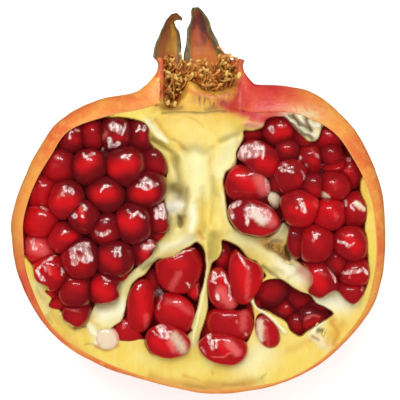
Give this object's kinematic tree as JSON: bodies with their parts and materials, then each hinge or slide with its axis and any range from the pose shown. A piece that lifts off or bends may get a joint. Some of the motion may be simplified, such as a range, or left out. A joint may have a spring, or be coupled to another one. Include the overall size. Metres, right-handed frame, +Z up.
{
  "type": "halved pomegranate",
  "caption": "Half of a ripe pomegranate cut lengthwise through its crown, arils packed in chambers between pale membranes, resting on its round rind.",
  "frame": {"origin": "centre of the flat resting spot on the round back of the rind", "axes": "+Z up, out of the cut face; +Y along the fruit's own axis to the crown; +X to the right of the cut face seen from above with the crown away"},
  "size_m": [0.08, 0.0831, 0.0465],
  "materials": {
    "rind": "leathery orange-red skin over pale yellow pith, satin",
    "aril_flesh": "wet, translucent deep red juice sacs",
    "dried_stamen": "dry golden-brown threads and anthers"
  },
  "bodies": {
    "root": {"aril_left_01": "aril_flesh", "aril_left_02": "aril_flesh", "aril_left_03": "aril_flesh", "aril_left_04": "aril_flesh", "aril_left_05": "aril_flesh", "aril_left_06": "aril_flesh", "aril_left_07": "aril_flesh", "aril_left_08": "aril_flesh", "aril_left_09": "aril_flesh", "aril_left_10": "aril_flesh", "aril_left_11": "aril_flesh", "aril_left_12": "aril_flesh", "aril_left_13": "aril_flesh", "aril_left_14": "aril_flesh", "aril_left_15": "aril_flesh", "aril_left_16": "aril_flesh", "aril_left_17": "aril_flesh", "aril_left_18": "aril_flesh", "aril_left_19": "aril_flesh", "aril_left_20": "aril_flesh", "aril_left_21": "aril_flesh", "aril_left_22": "aril_flesh", "aril_left_23": "aril_flesh", "aril_left_24": "aril_flesh", "aril_left_25": "aril_flesh", "aril_left_26": "aril_flesh", "aril_lower_left_01": "aril_flesh", "aril_lower_left_02": "aril_flesh", "aril_lower_left_03": "aril_flesh", "aril_lower_left_04": "aril_flesh", "aril_lower_left_05": "aril_flesh", "aril_lower_left_06": "aril_flesh", "aril_lower_right_01": "aril_flesh", "aril_lower_right_02": "aril_flesh", "aril_lower_right_03": "aril_flesh", "aril_lower_right_04": "aril_flesh", "aril_lower_right_05": "aril_flesh", "aril_middle_01": "aril_flesh", "aril_middle_02": "aril_flesh", "aril_middle_03": "aril_flesh", "aril_pocket_01": "aril_flesh", "aril_pocket_02": "aril_flesh", "aril_pocket_03": "aril_flesh", "aril_right_01": "aril_flesh", "aril_right_02": "aril_flesh", "aril_right_03": "aril_flesh", "aril_right_04": "aril_flesh", "aril_right_05": "aril_flesh", "aril_right_06": "aril_flesh", "aril_right_07": "aril_flesh", "aril_right_08": "aril_flesh", "aril_right_09": "aril_flesh", "aril_right_10": "aril_flesh", "aril_right_11": "aril_flesh", "aril_right_12": "aril_flesh", "aril_right_13": "aril_flesh", "aril_right_14": "aril_flesh", "aril_right_15": "aril_flesh", "husk": "rind", "stamens": "dried_stamen"}
  },
  "joints": []
}
